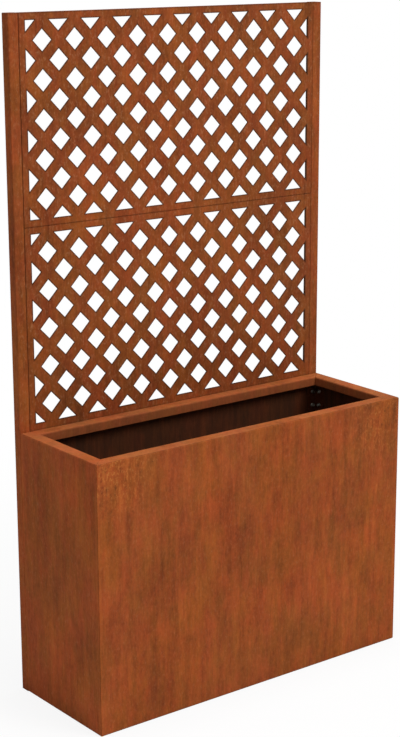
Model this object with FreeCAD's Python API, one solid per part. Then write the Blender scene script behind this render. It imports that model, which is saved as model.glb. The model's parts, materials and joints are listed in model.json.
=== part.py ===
import FreeCAD, Part
import math
import os

# Planter with a lattice screen behind it, in folded weathering-steel sheet.
# Millimetres. +X to the right, +Y to the back, +Z up.
# Origin: on the ground, under the middle of the whole object's outer box.

Vector = FreeCAD.Vector
RIGHT = Vector(1, 0, 0)
BACK = Vector(0, 1, 0)
UP = Vector(0, 0, 1)

# ---- driving dimensions ----------------------------------------------------

# Planter box
planter_width = 1020.0       # outside, along X
planter_depth = 350.0        # outside, along Y
planter_height = 725.0       # ground to the top of the rim
wall_sheet = 2.0             # sheet of the four walls
wall_bend = 2.0              # inside radius of the folds in the walls
rim_width = 39.0             # flat rim folded inwards
lip_depth = 24.0             # edge of the rim folded down
foot_return = 30.0           # bottom edge of each wall folded inwards
mitre_gap = 0.5              # open joint between two walls at a corner

# Floor of the box
floor_sheet = 2.0
floor_clearance = 3.0        # floor plate to the walls, all round
drain_hole_dia = 12.0
drain_columns = 6
drain_rows = 2
drain_margin_x = 110.0       # end wall to the first drain hole
drain_margin_y = 90.0        # front or back wall to the first drain hole

# Angles that join the walls inside the four corners
angle_leg = 33.0
angle_sheet = 2.0
angle_bend = 2.0
angle_top_clearance = 6.0    # top of the angle to the underside of the rim
bolt_line = 18.0             # outside of the corner to the fasteners
first_bolt_drop = 54.0       # top of the rim to the highest fastener
bolt_pair_pitch = 41.0       # between the two fasteners of a pair

# Tie that stops the long walls from bulging
tie_width = 30.0
tie_sheet = 3.0
tie_bend = 3.0
tie_leg = 36.0               # ends folded down against the walls
tie_stud_drop = 22.0         # top of the tie to its stud
tie_drop = 355.0             # top of the rim to the top of the tie
tie_clearance = 0.5          # tie to each wall

# Posts: square tube, standing on the ground behind the box
post_size = 30.0
post_wall = 2.0
post_corner = 3.0            # outside corner radius of the tube
cap_thickness = 3.0
cap_chamfer = 0.8
plug_wall = 2.0
plug_height = 20.0
plug_recess = 1.0            # plug to the ground
plug_clearance = 0.3         # plug to the inside of the tube

# Lattice panels, one above the other between the posts
pitch_x = 97.0               # diamond to diamond, sideways
pitch_z = 99.6               # diamond to diamond, upwards
half_rows = 10               # the openings span this many half pitches upwards
bar_width = 30.5             # steel left between two diamonds
panel_rail = 18.75           # solid edge above and below the openings
least_stile = 18.0           # solid edge at the sides, at the least
panel_tuck = 15.0            # foot of the lower panel, down behind the box
panel_sheet = 2.0
seam_inset = 0.5             # sheet stops short of its strips' outer faces
strip_sheet = 2.0            # strips welded on edge behind the sheet
side_strip_depth = 23.0      # along the posts
end_strip_depth = 16.0       # along the top and bottom

# Fixings
m6_shank_dia = 5.8
m6_hole_dia = 6.6
m6_nut_bore_dia = 6.0
m6_across_flats = 10.0
m6_flange_dia = 13.4
m6_flange_height = 1.3
m6_head_height = 5.5
m6_nut_height = 6.0
m6_bolt_length = 16.0
m6_point_chamfer = 0.8
m5_shank_dia = 4.8
m5_hole_dia = 5.5
m5_nut_bore_dia = 5.0
m5_across_flats = 8.0
m5_flange_dia = 11.4
m5_flange_height = 1.1
m5_head_height = 4.6
m5_nut_height = 5.0
m5_bolt_length = 14.0
m5_point_chamfer = 0.6
stud_spare = 2.0             # stud standing out past its nut
insert_body_dia = 8.8        # blind threaded insert in a post
insert_head_dia = 10.6
insert_head_height = 0.8     # flush countersunk head
insert_length = 14.0
insert_bulge_dia = 11.2      # crimped collar behind the post's wall
insert_bulge_height = 3.0
insert_clearance = 0.1       # insert to its seat in the post
panel_bolt_row = 2           # half pitches from the openings' ends to a bolt
joint_bolt_spacing = 350.0   # bolts between the two panels
joint_bolt_count = 3
joint_bolt_inset = 10.5      # panel face to the bolts between the panels

# ---- sizes that follow -----------------------------------------------------

overall_depth = planter_depth + post_size
front_face = -overall_depth / 2
back_face = front_face + planter_depth
planter_middle = (front_face + back_face) / 2
half_width = planter_width / 2

panel_width = planter_width - 2 * post_size
half_columns = int((panel_width - 2 * least_stile) // (pitch_x / 2))
opening_width = half_columns / 2 * pitch_x
opening_height = half_rows / 2 * pitch_z
panel_height = opening_height + 2 * panel_rail
overall_height = planter_height + 2 * panel_height
post_length = overall_height - cap_thickness
post_middle_x = half_width - post_size / 2
post_middle_y = back_face + post_size / 2
panel_bottoms = {"lower": planter_height, "upper": planter_height + panel_height}
panel_feet = {"lower": planter_height - panel_tuck, "upper": panel_bottoms["upper"]}

floor_top = wall_sheet + floor_sheet
angle_bottom = floor_top
angle_top = planter_height - wall_sheet - angle_top_clearance
highest_bolt = planter_height - first_bolt_drop
corner_bolt_heights = (
    first_bolt_drop,
    first_bolt_drop + bolt_pair_pitch,
    planter_height / 2,
    highest_bolt - bolt_pair_pitch,
    highest_bolt,
)
tie_top = planter_height - tie_drop
tie_stud_height = tie_top - tie_stud_drop
corner_stud_length = angle_sheet + m6_nut_height + stud_spare
tie_stud_length = tie_clearance + tie_sheet + m6_nut_height + stud_spare

# ---- shape helpers ---------------------------------------------------------


def rounded_path(points, radius):
    """Edges of an open path of straight runs, its corners rounded."""
    edges = []
    start = points[0]
    for before, corner, after in zip(points, points[1:], points[2:]):
        back = (before - corner).normalize()
        ahead = (after - corner).normalize()
        half_turn = back.getAngle(ahead) / 2
        reach = radius / math.tan(half_turn)
        middle = (back + ahead).normalize()
        first = corner + back * reach
        last = corner + ahead * reach
        top = corner + middle * (radius / math.sin(half_turn) - radius)
        edges.append(Part.LineSegment(start, first).toShape())
        edges.append(Part.Arc(first, top, last).toShape())
        start = last
    edges.append(Part.LineSegment(start, points[-1]).toShape())
    return edges


def offset_path(points, distance, normal):
    """The same path moved sideways, towards the side it curls to."""
    directions = [(b - a).normalize() for a, b in zip(points, points[1:])]
    sides = [normal.cross(d) * distance for d in directions]
    moved = [points[0] + sides[0]]
    for i in range(1, len(points) - 1):
        moved.append(points[i] + sides[i - 1] + sides[i])
    moved.append(points[-1] + sides[-1])
    return moved


def folded_section(points, sheet, bend, normal):
    """Cross-section of a sheet with square folds that all curl one way.

    The points are the corners of its outer face, and the sheet lies on
    the side of normal x direction.
    """
    outer = rounded_path(points, bend + sheet)
    inner_points = offset_path(points, sheet, normal)
    inner = rounded_path(inner_points, bend)
    ends = [
        Part.LineSegment(points[0], inner_points[0]).toShape(),
        Part.LineSegment(points[-1], inner_points[-1]).toShape(),
    ]
    loop = Part.Wire(Part.__sortEdges__(outer + inner + ends))
    return Part.Face(loop)


def cylinder(start, direction, diameter, length):
    return Part.makeCylinder(diameter / 2, length, start, direction)


def rounded_square(size, radius, height, bottom):
    """Square bar standing on its end about the Z axis."""
    bar = Part.makeBox(size, size, height, Vector(-size / 2, -size / 2, bottom))
    upright = [e for e in bar.Edges if abs(e.tangentAt(e.FirstParameter).z) > 0.5]
    return bar.makeFillet(radius, upright)


def placed(shape, turn, position):
    """A copy turned about Z and then moved."""
    copy = shape.copy()
    copy.rotate(Vector(0, 0, 0), UP, turn)
    copy.translate(position)
    return copy


def pointed(shape, start, direction):
    """A fixing drawn along +Z, laid with its Z axis along direction."""
    copy = shape.copy()
    copy.Placement = FreeCAD.Placement(start, FreeCAD.Rotation(UP, direction))
    return copy


def one_solid(shape):
    """The shape as a single clean solid."""
    tidy = shape.removeSplitter()
    if len(tidy.Solids) != 1:
        raise ValueError("expected one solid, got %d" % len(tidy.Solids))
    return tidy.Solids[0]


def hexagonal_prism(across_flats, height, bottom):
    radius = across_flats / math.sqrt(3)
    corners = []
    for i in range(7):
        turn = math.radians(60 * i)
        x = radius * math.cos(turn)
        y = radius * math.sin(turn)
        corners.append(Vector(x, y, bottom))
    face = Part.Face(Part.makePolygon(corners))
    return face.extrude(Vector(0, 0, height))


# ---- fixings ---------------------------------------------------------------


def flange_bolt(shank_dia, length, across_flats, head_height, flange_dia,
                flange_height, chamfer):
    """Hexagon bolt with a built-in washer: head below, shank along +Z."""
    flange = Part.makeCone(flange_dia / 2 - 0.6 * flange_height, flange_dia / 2,
                           flange_height, Vector(0, 0, -flange_height))
    head = hexagonal_prism(across_flats, head_height, -head_height)
    crown = Part.makeCone(across_flats / 2 * 0.94, across_flats / 2 * 1.25,
                          head_height, Vector(0, 0, -head_height))
    shank = Part.makeCylinder(shank_dia / 2, length - chamfer)
    point = Part.makeCone(shank_dia / 2, shank_dia / 2 - chamfer, chamfer,
                          Vector(0, 0, length - chamfer))
    bolt = head.common(crown).fuse([flange, shank, point])
    return one_solid(bolt)


def flange_nut(bore_dia, across_flats, height, flange_dia, flange_height):
    """Hexagon nut with a built-in washer, standing on Z = 0."""
    flange = Part.makeCone(flange_dia / 2, flange_dia / 2 - 0.6 * flange_height,
                           flange_height)
    body = hexagonal_prism(across_flats, height, 0)
    crown = Part.makeCone(across_flats / 2 * 1.25, across_flats / 2 * 0.94, height)
    bore = Part.makeCylinder(bore_dia / 2, height)
    nut = body.common(crown).fuse(flange).cut(bore)
    return one_solid(nut)


def insert_seat():
    """Countersunk hole for a threaded insert: mouth at Z = 0, going to +Z."""
    reach = insert_clearance + insert_head_height
    mouth = insert_head_dia / 2 + insert_clearance
    throat = insert_body_dia / 2 + insert_clearance
    sink = Part.makeCone(mouth, throat, reach)
    hole = Part.makeCylinder(throat, post_wall + 1)
    return sink.fuse(hole)


def threaded_insert():
    """Blind-fastened insert: flush head at Z = 0, body going to +Z."""
    head = Part.makeCone(insert_head_dia / 2, insert_body_dia / 2, insert_head_height)
    body = Part.makeCylinder(insert_body_dia / 2, insert_length)
    collar = Part.makeCylinder(insert_bulge_dia / 2, insert_bulge_height,
                               Vector(0, 0, post_wall + insert_clearance))
    bore = Part.makeCylinder(m6_nut_bore_dia / 2, insert_length)
    return one_solid(head.fuse([body, collar]).cut(bore))


m6_bolt = flange_bolt(m6_shank_dia, m6_bolt_length, m6_across_flats, m6_head_height,
                      m6_flange_dia, m6_flange_height, m6_point_chamfer)
m6_nut = flange_nut(m6_nut_bore_dia, m6_across_flats, m6_nut_height,
                    m6_flange_dia, m6_flange_height)
m5_bolt = flange_bolt(m5_shank_dia, m5_bolt_length, m5_across_flats, m5_head_height,
                      m5_flange_dia, m5_flange_height, m5_point_chamfer)
m5_nut = flange_nut(m5_nut_bore_dia, m5_across_flats, m5_nut_height,
                    m5_flange_dia, m5_flange_height)
m6_insert = threaded_insert()
m6_insert_seat = insert_seat()

# ---- planter box -----------------------------------------------------------


def folded_wall(length):
    """One wall, lying along X with its outer face on Y = 0.

    One sheet: foot return, wall, rim and lip, all folded towards +Y, and
    both ends cut on the mitre.
    """
    outer_face = [
        Vector(-length / 2, foot_return, 0),
        Vector(-length / 2, 0, 0),
        Vector(-length / 2, 0, planter_height),
        Vector(-length / 2, rim_width, planter_height),
        Vector(-length / 2, rim_width, planter_height - lip_depth),
    ]
    section = folded_section(outer_face, wall_sheet, wall_bend, Vector(-1, 0, 0))
    wall = section.extrude(Vector(length, 0, 0))
    inset = mitre_gap / math.sqrt(2)
    outside = length / 2 - inset
    reach = rim_width + 1
    between_mitres = Part.Face(Part.makePolygon([
        Vector(-outside, 0, 0),
        Vector(outside, 0, 0),
        Vector(outside - reach, reach, 0),
        Vector(-outside + reach, reach, 0),
        Vector(-outside, 0, 0),
    ])).extrude(Vector(0, 0, planter_height))
    return wall.common(between_mitres)


def welded_studs(places, length):
    """Threaded studs on the inner face, at (x, z) along the wall."""
    return [
        cylinder(Vector(x, wall_sheet, z), BACK, m6_shank_dia, length)
        for x, z in places
    ]


def corner_places(length):
    """The (x, z) of the corner fasteners along a wall of this length."""
    reach = length / 2 - bolt_line
    return [(side * reach, z) for side in (-1, 1) for z in corner_bolt_heights]


def place_wall(shape, name):
    turn, x, y = {
        "front_wall": (0, 0, front_face),
        "back_wall": (180, 0, back_face),
        "left_wall": (-90, -half_width, planter_middle),
        "right_wall": (90, half_width, planter_middle),
    }[name]
    return placed(shape, turn, Vector(x, y, 0))


def make_front_wall():
    wall = folded_wall(planter_width)
    studs = welded_studs(corner_places(planter_width), corner_stud_length)
    studs += welded_studs([(0, tie_stud_height)], tie_stud_length)
    return place_wall(one_solid(wall.fuse(studs)), "front_wall")


def make_back_wall():
    """As the front, but with holes for the bolts into the two posts."""
    wall = folded_wall(planter_width)
    holes = [
        cylinder(Vector(x, -1, z), BACK, m6_hole_dia, wall_sheet + 2)
        for x, z in corner_places(planter_width)
    ]
    studs = welded_studs([(0, tie_stud_height)], tie_stud_length)
    return place_wall(one_solid(wall.cut(holes).fuse(studs)), "back_wall")


def make_end_wall(name):
    wall = folded_wall(planter_depth)
    studs = welded_studs(corner_places(planter_depth), corner_stud_length)
    return place_wall(one_solid(wall.fuse(studs)), name)


def make_floor_plate():
    """Loose plate on the foot returns, with rows of drain holes."""
    inset = wall_sheet + floor_clearance
    width = planter_width - 2 * inset
    depth = planter_depth - 2 * inset
    low_corner = Vector(-width / 2, front_face + inset, wall_sheet)
    plate = Part.makeBox(width, depth, floor_sheet, low_corner)
    span_x = planter_width - 2 * drain_margin_x
    span_y = planter_depth - 2 * drain_margin_y
    holes = []
    for column in range(drain_columns):
        for row in range(drain_rows):
            x = span_x * (column / (drain_columns - 1) - 0.5)
            y = planter_middle + span_y * (row / (drain_rows - 1) - 0.5)
            start = Vector(x, y, wall_sheet - 1)
            holes.append(cylinder(start, UP, drain_hole_dia, floor_sheet + 2))
    return one_solid(plate.cut(holes))


def make_corner_angle():
    """Angle for a corner at the origin, with legs along +X and +Y."""
    outer_face = [
        Vector(angle_leg, 0, angle_bottom),
        Vector(0, 0, angle_bottom),
        Vector(0, angle_leg, angle_bottom),
    ]
    section = folded_section(outer_face, angle_sheet, angle_bend, Vector(0, 0, -1))
    angle = section.extrude(Vector(0, 0, angle_top - angle_bottom))
    reach = bolt_line - wall_sheet
    holes = []
    for z in corner_bolt_heights:
        holes.append(cylinder(Vector(reach, -1, z), BACK, m6_hole_dia, angle_sheet + 2))
        holes.append(cylinder(Vector(-1, reach, z), RIGHT, m6_hole_dia, angle_sheet + 2))
    return one_solid(angle.cut(holes))


def make_wall_tie():
    """Flat bar from the front wall to the back wall, ends folded down."""
    inset = wall_sheet + tie_clearance
    front = front_face + inset
    back = back_face - inset
    left = -tie_width / 2
    outer_face = [
        Vector(left, back, tie_top - tie_leg),
        Vector(left, back, tie_top),
        Vector(left, front, tie_top),
        Vector(left, front, tie_top - tie_leg),
    ]
    section = folded_section(outer_face, tie_sheet, tie_bend, RIGHT)
    tie = section.extrude(Vector(tie_width, 0, 0))
    hole = cylinder(Vector(0, front_face, tie_stud_height), BACK, m6_hole_dia,
                    planter_depth)
    return one_solid(tie.cut(hole))


def make_corner_nuts():
    """Nuts on the studs that hold the angles, two walls at a time."""
    nuts = []
    depth = wall_sheet + angle_sheet
    for name, length in (("front_wall", planter_width),
                         ("left_wall", planter_depth),
                         ("right_wall", planter_depth)):
        for x, z in corner_places(length):
            nut = pointed(m6_nut, Vector(x, depth, z), BACK)
            nuts.append(place_wall(nut, name))
    return Part.makeCompound(nuts)


def make_tie_nuts():
    depth = wall_sheet + tie_clearance + tie_sheet
    nut = pointed(m6_nut, Vector(0, depth, tie_stud_height), BACK)
    return Part.makeCompound([place_wall(nut, "front_wall"),
                              place_wall(nut, "back_wall")])


def make_post_bolts():
    """Bolts from inside the box through angle and back wall to the posts."""
    depth = wall_sheet + angle_sheet
    bolts = []
    for x, z in corner_places(planter_width):
        bolt = pointed(m6_bolt, Vector(x, depth, z), -BACK)
        bolts.append(place_wall(bolt, "back_wall"))
    return Part.makeCompound(bolts)


# ---- posts -----------------------------------------------------------------


def post_bolt_seats(side):
    """Start and direction of each insert in a post, side -1 left or 1 right."""
    seats = []
    for z in corner_bolt_heights:
        seats.append((Vector(side * (half_width - bolt_line), back_face, z), BACK))
    for z in panel_bolt_heights():
        start = Vector(side * (half_width - post_size), post_middle_y, z)
        seats.append((start, RIGHT * side))
    return seats


def panel_bolt_heights():
    return [
        bottom + panel_rail + opening_height - row * pitch_z / 2
        for bottom in panel_bottoms.values()
        for row in (panel_bolt_row, half_rows - panel_bolt_row)
    ]


def make_post(side):
    outer = rounded_square(post_size, post_corner, post_length, 0)
    inner = rounded_square(post_size - 2 * post_wall, post_corner - post_wall,
                           post_length, 0)
    tube = outer.cut(inner)
    tube.translate(Vector(side * post_middle_x, post_middle_y, 0))
    seats = [pointed(m6_insert_seat, start, way) for start, way in post_bolt_seats(side)]
    return one_solid(tube.cut(seats))


def make_post_cap(side):
    """Plate welded over the open top of the tube."""
    cap = rounded_square(post_size, post_corner, cap_thickness, post_length)
    top_edges = [e for e in cap.Edges if e.BoundBox.ZMin > overall_height - 0.01]
    cap = cap.makeChamfer(cap_chamfer, top_edges)
    cap.translate(Vector(side * post_middle_x, post_middle_y, 0))
    return one_solid(cap)


def make_post_plug(side):
    """Cup pressed into the foot of the tube, open side up."""
    size = post_size - 2 * post_wall - 2 * plug_clearance
    corner = post_corner - post_wall
    cup = rounded_square(size, corner, plug_height, plug_recess)
    hollow = Part.makeBox(size - 2 * plug_wall, size - 2 * plug_wall, plug_height,
                          Vector(plug_wall - size / 2, plug_wall - size / 2,
                                 plug_recess + plug_wall))
    cup = cup.cut(hollow)
    cup.translate(Vector(side * post_middle_x, post_middle_y, 0))
    return one_solid(cup)


def make_post_inserts():
    seats = post_bolt_seats(-1) + post_bolt_seats(1)
    return Part.makeCompound([pointed(m6_insert, start, way) for start, way in seats])


# ---- lattice panels --------------------------------------------------------


def diamond_openings():
    """Outlines of the openings as (x, z), from the panel's bottom middle.

    Diamonds sit on every second point of a half-pitch grid. One on the
    border of the grid is cut along it to a half, or a quarter at a corner.
    """
    tile_width = pitch_x * pitch_z / math.hypot(pitch_x, pitch_z)
    share = 1 - bar_width / tile_width
    reach_x = share * pitch_x / 2
    reach_z = share * pitch_z / 2
    left = -opening_width / 2
    top = panel_rail + opening_height
    slack = 0.01
    outlines = []
    for column in range(half_columns + 1):
        for row in range(half_rows + 1):
            if (column + row) % 2:
                continue
            x = left + column * pitch_x / 2
            z = top - row * pitch_z / 2
            points = [(x + reach_x, z), (x, z + reach_z), (x - reach_x, z), (x, z - reach_z)]
            inside = [p for p in points
                      if abs(p[0]) < opening_width / 2 + slack
                      and panel_rail - slack < p[1] < top + slack]
            if len(inside) == 2:
                inside.append((x, z))
            outlines.append(inside)
    return outlines


def panel_span(level):
    """Lowest and highest Z of a panel."""
    return panel_feet[level], panel_bottoms[level] + panel_height


def make_lattice_sheet(level):
    """Flat sheet with the diamonds cut out."""
    foot, top = panel_span(level)
    corner = Vector(-panel_width / 2 + seam_inset, back_face, foot + seam_inset)
    sheet = Part.makeBox(panel_width - 2 * seam_inset, panel_sheet,
                         top - foot - 2 * seam_inset, corner)
    cuts = []
    for outline in diamond_openings():
        points = [Vector(x, back_face - 1, panel_bottoms[level] + z) for x, z in outline]
        diamond = Part.Face(Part.makePolygon(points + points[:1]))
        cuts.append(diamond.extrude(Vector(0, panel_sheet + 2, 0)))
    return one_solid(sheet.cut(cuts))


def make_side_strip(level, side):
    """Strip on edge behind the sheet, bolted to the inner face of a post."""
    foot, top = panel_span(level)
    inner_edge = panel_width / 2 - strip_sheet
    low_x = inner_edge if side > 0 else -panel_width / 2
    strip = Part.makeBox(strip_sheet, side_strip_depth, top - foot,
                         Vector(low_x, back_face + panel_sheet, foot))
    holes = [
        cylinder(Vector(low_x - 1, post_middle_y, z), RIGHT, m6_hole_dia, strip_sheet + 2)
        for z in panel_bolt_heights()
        if foot < z < top
    ]
    return one_solid(strip.cut(holes))


def make_end_strip(level, at_top):
    """Strip on edge between the side strips; where two panels meet, drilled."""
    foot, top = panel_span(level)
    low_z = top - strip_sheet if at_top else foot
    inner_edge = panel_width / 2 - strip_sheet
    strip = Part.makeBox(2 * inner_edge, end_strip_depth, strip_sheet,
                         Vector(-inner_edge, back_face + panel_sheet, low_z))
    if at_top == (level == "lower"):
        y = back_face + joint_bolt_inset
        holes = [
            cylinder(Vector(x, y, low_z - 1), UP, m5_hole_dia, strip_sheet + 2)
            for x in joint_bolt_places()
        ]
        strip = strip.cut(holes)
    return one_solid(strip)


def joint_bolt_places():
    middle = (joint_bolt_count - 1) / 2
    return [(i - middle) * joint_bolt_spacing for i in range(joint_bolt_count)]


def make_panel_bolts():
    """Bolts through the side strips into the inserts in the posts."""
    bolts = []
    for side in (-1, 1):
        for z in panel_bolt_heights():
            x = side * (panel_width / 2 - strip_sheet)
            bolts.append(pointed(m6_bolt, Vector(x, post_middle_y, z), RIGHT * side))
    return Part.makeCompound(bolts)


def make_joint_bolts():
    """Bolts down through the two strips where the panels meet."""
    y = back_face + joint_bolt_inset
    z = panel_bottoms["upper"] + strip_sheet
    bolts = [pointed(m5_bolt, Vector(x, y, z), -UP) for x in joint_bolt_places()]
    return Part.makeCompound(bolts)


def make_joint_nuts():
    y = back_face + joint_bolt_inset
    z = panel_bottoms["upper"] - strip_sheet
    nuts = [pointed(m5_nut, Vector(x, y, z), -UP) for x in joint_bolt_places()]
    return Part.makeCompound(nuts)


# ---- the whole object ------------------------------------------------------

left, right = -1, 1
corner_angle = make_corner_angle()
inner_x = half_width - wall_sheet
inner_front = front_face + wall_sheet
inner_back = back_face - wall_sheet

nodes = {
    "front_wall": make_front_wall(),
    "back_wall": make_back_wall(),
    "left_wall": make_end_wall("left_wall"),
    "right_wall": make_end_wall("right_wall"),
    "floor_plate": make_floor_plate(),
    "corner_angle_front_left": placed(corner_angle, 0, Vector(-inner_x, inner_front, 0)),
    "corner_angle_front_right": placed(corner_angle, 90, Vector(inner_x, inner_front, 0)),
    "corner_angle_back_right": placed(corner_angle, 180, Vector(inner_x, inner_back, 0)),
    "corner_angle_back_left": placed(corner_angle, 270, Vector(-inner_x, inner_back, 0)),
    "wall_tie": make_wall_tie(),
    "corner_nuts": make_corner_nuts(),
    "tie_nuts": make_tie_nuts(),
    "post_bolts": make_post_bolts(),
    "left_post": make_post(left),
    "right_post": make_post(right),
    "left_post_cap": make_post_cap(left),
    "right_post_cap": make_post_cap(right),
    "left_post_plug": make_post_plug(left),
    "right_post_plug": make_post_plug(right),
    "post_threaded_inserts": make_post_inserts(),
    "panel_bolts": make_panel_bolts(),
    "panel_joint_bolts": make_joint_bolts(),
    "panel_joint_nuts": make_joint_nuts(),
}
for level in panel_bottoms:
    nodes[level + "_lattice_sheet"] = make_lattice_sheet(level)
    nodes[level + "_lattice_left_strip"] = make_side_strip(level, left)
    nodes[level + "_lattice_right_strip"] = make_side_strip(level, right)
    nodes[level + "_lattice_top_strip"] = make_end_strip(level, True)
    nodes[level + "_lattice_bottom_strip"] = make_end_strip(level, False)

os.makedirs("parts", exist_ok=True)
for name, shape in nodes.items():
    shape.exportStep("parts/%s.step" % name)
    print("%-26s %3d solids  %9.0f mm3  valid %s"
          % (name, len(shape.Solids), shape.Volume, shape.isValid()))
print("opening share: stile %.2f mm, rail %.2f mm, overall %.0f x %.0f x %.1f mm" % (
    (panel_width - opening_width) / 2, panel_rail,
    planter_width, overall_depth, overall_height))
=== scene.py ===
# %% [markdown]
# # A rusted planter with a lattice screen
#
# The object is a tall planter box folded from weathering steel, with two square posts behind
# it and two lattice panels between them. This lesson dresses the measured model of it: the
# pieces whose folds, holes or fixings need a finer shape are built again here, and each finish
# is made from nodes. The measured model is loaded first, because everything is placed from it.

# %% Load the measured model
import bpy
import bmesh
import json
import math
from mathutils import Vector
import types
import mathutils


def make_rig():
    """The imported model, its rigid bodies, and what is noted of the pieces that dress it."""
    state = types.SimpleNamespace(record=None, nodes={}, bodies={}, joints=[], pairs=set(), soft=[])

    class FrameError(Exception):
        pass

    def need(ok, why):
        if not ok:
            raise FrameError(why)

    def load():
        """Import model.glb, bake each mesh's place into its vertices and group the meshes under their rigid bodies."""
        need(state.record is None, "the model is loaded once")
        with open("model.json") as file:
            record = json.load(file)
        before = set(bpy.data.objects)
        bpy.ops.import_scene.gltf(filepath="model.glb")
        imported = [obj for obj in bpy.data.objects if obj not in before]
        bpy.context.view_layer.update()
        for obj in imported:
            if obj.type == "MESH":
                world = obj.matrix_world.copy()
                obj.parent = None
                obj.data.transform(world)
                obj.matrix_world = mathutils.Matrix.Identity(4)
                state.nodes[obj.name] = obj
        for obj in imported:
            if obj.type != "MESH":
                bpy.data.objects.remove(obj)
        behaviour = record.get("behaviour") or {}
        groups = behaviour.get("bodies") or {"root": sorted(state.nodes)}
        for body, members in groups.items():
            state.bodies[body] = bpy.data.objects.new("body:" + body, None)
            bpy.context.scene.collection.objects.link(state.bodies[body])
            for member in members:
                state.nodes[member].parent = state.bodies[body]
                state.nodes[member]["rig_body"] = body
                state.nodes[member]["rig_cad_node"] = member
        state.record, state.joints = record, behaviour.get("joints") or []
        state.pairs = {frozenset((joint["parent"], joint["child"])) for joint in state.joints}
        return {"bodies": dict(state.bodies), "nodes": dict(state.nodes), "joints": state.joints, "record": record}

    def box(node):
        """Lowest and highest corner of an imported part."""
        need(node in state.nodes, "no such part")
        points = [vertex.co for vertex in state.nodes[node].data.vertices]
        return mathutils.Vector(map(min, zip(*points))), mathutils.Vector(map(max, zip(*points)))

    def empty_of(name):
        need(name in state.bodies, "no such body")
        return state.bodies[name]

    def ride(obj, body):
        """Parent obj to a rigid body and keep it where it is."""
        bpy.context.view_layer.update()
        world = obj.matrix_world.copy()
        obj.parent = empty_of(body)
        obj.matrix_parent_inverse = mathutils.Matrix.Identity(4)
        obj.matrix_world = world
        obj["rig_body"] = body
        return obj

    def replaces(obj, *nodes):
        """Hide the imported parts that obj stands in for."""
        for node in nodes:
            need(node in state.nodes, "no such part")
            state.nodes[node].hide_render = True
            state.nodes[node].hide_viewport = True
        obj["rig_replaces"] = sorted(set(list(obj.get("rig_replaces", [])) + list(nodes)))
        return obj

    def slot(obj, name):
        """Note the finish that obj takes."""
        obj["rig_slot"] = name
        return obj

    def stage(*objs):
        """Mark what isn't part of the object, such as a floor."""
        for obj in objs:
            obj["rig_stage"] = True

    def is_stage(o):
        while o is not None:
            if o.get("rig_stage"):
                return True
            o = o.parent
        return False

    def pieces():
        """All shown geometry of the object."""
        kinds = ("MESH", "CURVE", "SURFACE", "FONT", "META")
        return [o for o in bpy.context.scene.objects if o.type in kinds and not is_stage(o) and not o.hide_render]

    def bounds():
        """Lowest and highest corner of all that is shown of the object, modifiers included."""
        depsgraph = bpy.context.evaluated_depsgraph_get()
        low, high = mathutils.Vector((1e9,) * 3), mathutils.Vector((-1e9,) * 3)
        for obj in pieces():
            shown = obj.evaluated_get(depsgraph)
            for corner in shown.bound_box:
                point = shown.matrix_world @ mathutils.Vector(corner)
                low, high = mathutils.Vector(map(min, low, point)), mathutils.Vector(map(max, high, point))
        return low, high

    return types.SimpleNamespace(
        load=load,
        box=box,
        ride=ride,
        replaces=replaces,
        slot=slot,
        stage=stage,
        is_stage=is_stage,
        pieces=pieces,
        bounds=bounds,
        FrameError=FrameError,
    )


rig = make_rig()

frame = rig.load()
measured_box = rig.bounds()
nodes = frame["nodes"]
body = next(iter(frame["bodies"]))
print("pieces in the measured model:", len(nodes), "riding on", body)

# %% [markdown]
# ## Sizes
#
# Every place below is worked out from the boxes of the measured pieces, so that the dressed
# pieces sit exactly where the measured ones do. What a box can't tell, such as the thickness
# of a sheet or the depth of a fold, is a named value in metres.

# %% Sizes in metres
front_low, front_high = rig.box("front_wall")
post_low, post_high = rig.box("right_post")

sheet = 0.002                 # thickness of every folded wall
fold = 0.002                  # inside radius of a fold
lip_depth = 0.024             # the rim's edge, folded down
foot_return = 0.030           # the foot of a wall, folded inwards
mitre_gap = 0.0005            # open joint where two walls meet
half_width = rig.box("right_wall")[1].x
front_face = front_low.y
back_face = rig.box("back_wall")[1].y
planter_middle = (front_face + back_face) / 2
planter_height = front_high.z
rim_width = front_high.y - front_low.y
overall_height = measured_box[1][2]
print("planter %.3f x %.3f x %.3f m, %.3f m with the screen"
      % (2 * half_width, back_face - front_face, planter_height, overall_height))

# %% [markdown]
# ## Camera
#
# The photograph looks down on the planter from its front left. The camera's place, turn and
# lens were worked out from the straight edges of the box and the posts and from the openings
# of the lattice, so that the render can be laid over the photograph. A small shift of the lens
# puts the object where it is framed.

# %% Camera
image_width, image_height = 400, 737
focal_pixels = 1740.78
optical_centre = (234.65, 365.07)     # where the lens points, in the photograph

lens = bpy.data.cameras.new("photo_camera")
lens.sensor_fit = "VERTICAL"
lens.sensor_height = 36.0
lens.lens = lens.sensor_height * focal_pixels / image_height
lens.shift_x = (image_width / 2 - optical_centre[0]) / image_height
lens.shift_y = (optical_centre[1] - image_height / 2) / image_height
camera = bpy.data.objects.new("photo_camera", lens)
camera.location = (-2.7771, -3.5766, 2.0129)
camera.rotation_euler = (math.pi / 2 - 0.24936, -0.00097, -0.67269)
bpy.context.collection.objects.link(camera)
bpy.context.scene.camera = camera
bpy.context.scene.view_settings.view_transform = "Standard"
print("lens %.1f mm, shift %.3f, %.3f" % (lens.lens, lens.shift_x, lens.shift_y))

# %% [markdown]
# ## A bench for nodes
#
# Finishes and repeated shapes are both made of nodes. Wiring them by hand is long to read, so
# a Signal stands for one output socket and can be used in a plain sum, which adds the Math
# nodes for it. A Bench adds every other node: its kind, its settings, and what goes in.

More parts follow.
